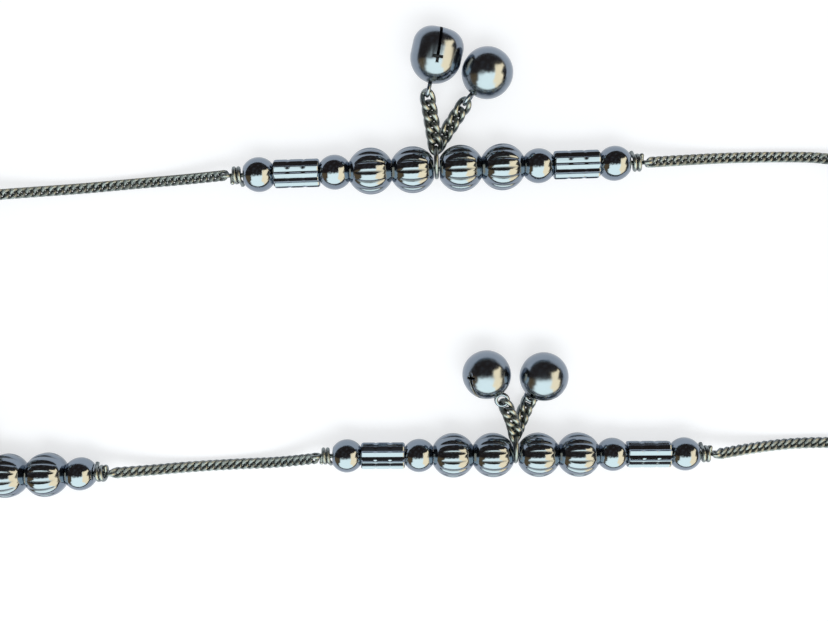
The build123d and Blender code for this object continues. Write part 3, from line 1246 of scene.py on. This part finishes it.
CHAIN_ROUTES: dict[str, list[Place]] = {
    "upper_left_chain": [
        (-19.04, 13.32, 2.2),
        (-22.4, 12.95, 1.2),
        (-27.2, 12.55, 0.5),
        (-32.6, 12.05, 0.5),
        (-37.5, 11.72, 0.95),
        (-41.66, 11.45, 2.15),
    ],
    "upper_right_chain": [
        (23.44, 14.68, 2.2),
        (26.7, 14.85, 1.25),
        (31.1, 15.05, 0.5),
        (36.1, 15.14, 0.5),
        (39.9, 15.1, 0.5),
        (42.3, 14.7, 1.2),
        (44.11, 13.23, 2.2),
    ],
    "lower_left_chain": [
        (-30.45, -17.0, 2.15),
        (-27.4, -17.08, 1.2),
        (-23.2, -16.92, 0.5),
        (-18.2, -16.62, 0.5),
        (-13.9, -16.3, 1.0),
        (-10.7, -15.55, 2.1),
    ],
    "lower_right_chain": [
        (31.7, -14.9, 2.2),
        (34.9, -14.68, 1.2),
        (39.2, -14.38, 0.5),
        (44.0, -14.25, 0.5),
        (47.4, -14.7, 0.55),
        (49.8, -14.5, 1.2),
        (51.35, -13.1, 2.15),
    ],
    "clasp_upper_chain": [
        (-68.59, 5.34, 2.2),
        (-70.1, 3.7, 1.3),
        (-70.85, 0.75, 0.5),
        (-70.1, -2.2, 0.5),
    ],
    "clasp_lower_chain": [
        (-67.9, -10.78, 0.5),
        (-67.0, -13.8, 0.5),
        (-64.6, -16.4, 0.5),
        (-61.2, -17.7, 1.1),
        (-58.15, -17.71, 2.15),
    ],
}


# The studio


@dataclass(frozen=True)
class Room:
    """What gloss sees: a dark room with one wide curtained window.

    A direction's place is its X across the window, its Y facing away from it, or its Z above the floor. An
    edge is the pair of places between which one light turns to the next.

    Attributes:
        fray_scale: Scale of the noise that frays the curtains' edges.
        fray: How far it moves them.
        sill: Lower edge of the window.
        pale_side: Left edge of the pale curtain.
        pale_top: Far edge of the pale curtain.
        cream_side: Left edge of the cream curtain, which is drawn further over.
        cream_top: Far edge of the cream curtain.
        window_end: Right edge of the window.
        dye: Where the pale colour turns to cream.
        pale: Light of the pale curtain.
        cream: Light of the cream curtain.
        patches: Values of the noise between which the shade turns to haze.
        shade: Light of the dark ceiling.
        haze: Light of its paler patches.
        wall_side: Right edge of the wall on the left.
        wall_top: Far edge of that wall.
        wall: Light of that wall.
        plain: Strength of the plain light that everything but gloss receives.
    """

    fray_scale: float = 3.5
    fray: float = 0.6
    sill: Edge = (0.12, 0.2)
    pale_side: Edge = (-0.74, -0.6)
    pale_top: Edge = (0.08, -0.18)
    cream_side: Edge = (0.38, 0.48)
    cream_top: Edge = (0.5, 0.38)
    window_end: Edge = (0.96, 0.88)
    dye: Edge = (0.38, 0.5)
    pale: Colour = (3.0, 3.15, 2.75, 1)
    cream: Colour = (3.6, 2.75, 1.65, 1)
    patches: Edge = (0.45, 0.8)
    shade: Colour = (0.048, 0.034, 0.028, 1)
    haze: Colour = (0.13, 0.13, 0.13, 1)
    wall_side: Edge = (-0.62, -0.8)
    wall_top: Edge = (0.0, -0.15)
    wall: Colour = (0.3, 0.2, 0.1, 1)
    plain: float = 0.6

    def build(self) -> None:
        """Set up the world: the room for gloss, white for the camera and plain pale light for the rest."""
        world = bpy.data.worlds.new("studio_room")
        bpy.context.scene.world = world
        tree = empty_tree(world)

        def math(operation: str, first: Value, second: Value) -> bpy.types.NodeSocket:
            """Add a Math node and return its value."""
            return add_node(tree, "Math", {0: first, 1: second}, operation=operation).outputs["Value"]

        def past(place: Value, edge: Edge) -> bpy.types.NodeSocket:
            """Rise smoothly from 0 to 1 over an edge."""
            inputs = {"Value": place, "From Min": edge[0], "From Max": edge[1]}
            return add_node(tree, "MapRange", inputs, interpolation_type="SMOOTHSTEP").outputs["Result"]

        def blended(share: Value, first: Value, second: Value) -> bpy.types.NodeSocket:
            """Mix two colours, whose sockets are 6 and 7, as the Mix node's colour result, which is 2."""
            return add_node(tree, "Mix", {0: share, 6: first, 7: second}, data_type="RGBA").outputs[2]

        def light(colour: Value, strength: float) -> bpy.types.NodeSocket:
            """Add a Background node and return its light."""
            inputs = {"Color": colour, "Strength": strength}
            return add_node(tree, "Background", inputs).outputs["Background"]

        direction = add_node(tree, "TexCoord").outputs["Generated"]
        parts = add_node(tree, "SeparateXYZ", {0: direction}).outputs
        ragged = add_node(
            tree, "TexNoise", {"Vector": direction, "Scale": self.fray_scale, "Detail": 4.0}
        ).outputs["Fac"]
        fray = math("MULTIPLY", math("SUBTRACT", ragged, 0.5), self.fray)
        across = math("ADD", parts["X"], fray)
        facing = math("ADD", parts["Y"], fray)
        pale = math("MULTIPLY", past(across, self.pale_side), past(facing, self.pale_top))
        cream = math("MULTIPLY", past(across, self.cream_side), past(facing, self.cream_top))
        curtains = math("MULTIPLY", math("MAXIMUM", pale, cream), past(across, self.window_end))
        curtain = blended(past(across, self.dye), self.pale, self.cream)
        shade = blended(past(ragged, self.patches), self.shade, self.haze)
        left = math("MULTIPLY", past(parts["X"], self.wall_side), past(parts["Y"], self.wall_top))
        walls = blended(left, shade, self.wall)
        window = math("MULTIPLY", curtains, past(parts["Z"], self.sill))
        room = blended(window, walls, curtain)
        rays = add_node(tree, "LightPath").outputs
        gloss = {"Fac": rays["Is Glossy Ray"], 1: light(WHITE, self.plain), 2: light(room, 1.0)}
        for_gloss = add_node(tree, "MixShader", gloss).outputs["Shader"]
        seen = {"Fac": rays["Is Camera Ray"], 1: for_gloss, 2: light(WHITE, 1.0)}
        add_node(tree, "OutputWorld", {"Surface": add_node(tree, "MixShader", seen).outputs["Shader"]})


@dataclass(frozen=True)
class Floor:
    """The plain matt floor.

    Attributes:
        half: Half of its width, in metres.
        board: Its colour.
        glow: What is added where it is looked at, so that it looks white and keeps its shadows.
    """

    half: float = 1.5
    board: str = "b4b8bc"
    glow: float = 0.62

    def build(self) -> None:
        """Lay the floor."""
        shape = bmesh.new()
        bmesh.ops.create_grid(shape, x_segments=1, y_segments=1, size=self.half)
        mesh = bpy.data.meshes.new("studio_floor")
        shape.to_mesh(mesh)
        shape.free()
        floor = linked("studio_floor", mesh)
        material = bpy.data.materials.new("matt_white_board")
        tree = empty_tree(material)
        board = add_node(tree, "BsdfDiffuse", {"Color": linear(self.board)}).outputs["BSDF"]
        glow = add_node(tree, "Emission", {"Color": WHITE, "Strength": self.glow}).outputs["Emission"]
        glowing = add_node(tree, "AddShader", {0: board, 1: glow}).outputs["Shader"]
        rays = add_node(tree, "LightPath").outputs
        looks = {0: rays["Is Camera Ray"], 1: rays["Is Glossy Ray"]}
        looked = add_node(tree, "Math", looks, operation="ADD").outputs["Value"]
        through = {0: looked, 1: rays["Is Transmission Ray"]}
        looked_at = add_node(tree, "Math", through, operation="ADD", use_clamp=True).outputs["Value"]
        surface = add_node(tree, "MixShader", {"Fac": looked_at, 1: board, 2: glowing}).outputs["Shader"]
        add_node(tree, "OutputMaterial", {"Surface": surface})
        mesh.materials.append(material)


@dataclass(frozen=True)
class Lamp:
    """One wide soft lamp above the loop, on the window's side.

    Attributes:
        width: Of the lamp, in metres.
        depth: Of the lamp, in metres.
        power: In watts.
        place: Of its middle, in metres.
        turn: About each axis, in degrees.
    """

    width: float = 0.5
    depth: float = 0.35
    power: float = 2.2
    place: Place = (0.06, -0.28, 0.5)
    turn: Place = (-29, 7, 0)

    def build(self) -> None:
        """Hang the lamp."""
        data = bpy.data.lights.new("soft_lamp", "AREA")
        data.shape = "RECTANGLE"
        data.size = self.width
        data.size_y = self.depth
        data.energy = self.power
        lamp = linked("soft_lamp", data)
        lamp.location = self.place
        lamp.rotation_euler = [radians(angle) for angle in self.turn]
        lamp.visible_glossy = False


@dataclass(frozen=True)
class Camera:
    """The camera, above the loop and a little towards the bells.

    Attributes:
        distance: From the point that it looks at, in millimetres.
        tilt: Of its line from the upright, towards the bells, in degrees.
        aim: The point in the plan that it looks at, in millimetres.
        view_width: What it sees across at its aim, in millimetres.
        sensor: Width of its sensor, in millimetres.
        near: Where its view starts, in metres.
    """

    distance: float = 95.0
    tilt: float = 10.0
    aim: Place = (0.0, 0.0, 2.25)
    view_width: float = 82.8
    sensor: float = 36.0
    near: float = 0.005

    def build(self) -> None:
        """Place the camera."""
        data = bpy.data.cameras.new("studio_camera")
        data.sensor_width = self.sensor
        data.lens = self.sensor * self.distance / self.view_width
        data.clip_start = self.near
        camera = linked("studio_camera", data)
        tilt = radians(self.tilt)
        away = Vector((0, sin(tilt), cos(tilt)))
        camera.location = in_plan(self.aim) + away * self.distance * MM
        camera.rotation_euler = (-tilt, 0, 0)
        bpy.context.scene.camera = camera


class Studio:
    """The floor, the room, the lamp and the camera."""

    def build(self) -> None:
        """Set up the whole studio and the plain view."""
        for part in (Floor(), Room(), Lamp(), Camera()):
            part.build()
        bpy.context.scene.view_settings.view_transform = "Standard"


def main() -> None:
    """Build the studio, then each sub-assembly of the anklet."""
    logging.basicConfig(level=logging.INFO, format="%(name)s: %(message)s")
    finishes = Finishes()
    Studio().build()
    shapes = {kind: shape.mesh(kind.value + "_bead") for kind, shape in BEAD_SHAPES.items()}
    for group in BEAD_GROUPS:
        group.build(shapes, finishes)
        BellLinks(group, BELL_CHAIN).build(finishes)
    for node, route in CHAIN_ROUTES.items():
        LOOP_CHAIN.build(node, route, finishes)
    dress_node("clasp_hook", finishes.of(WIRE_SILVER))


if __name__ == "__main__":
    main()
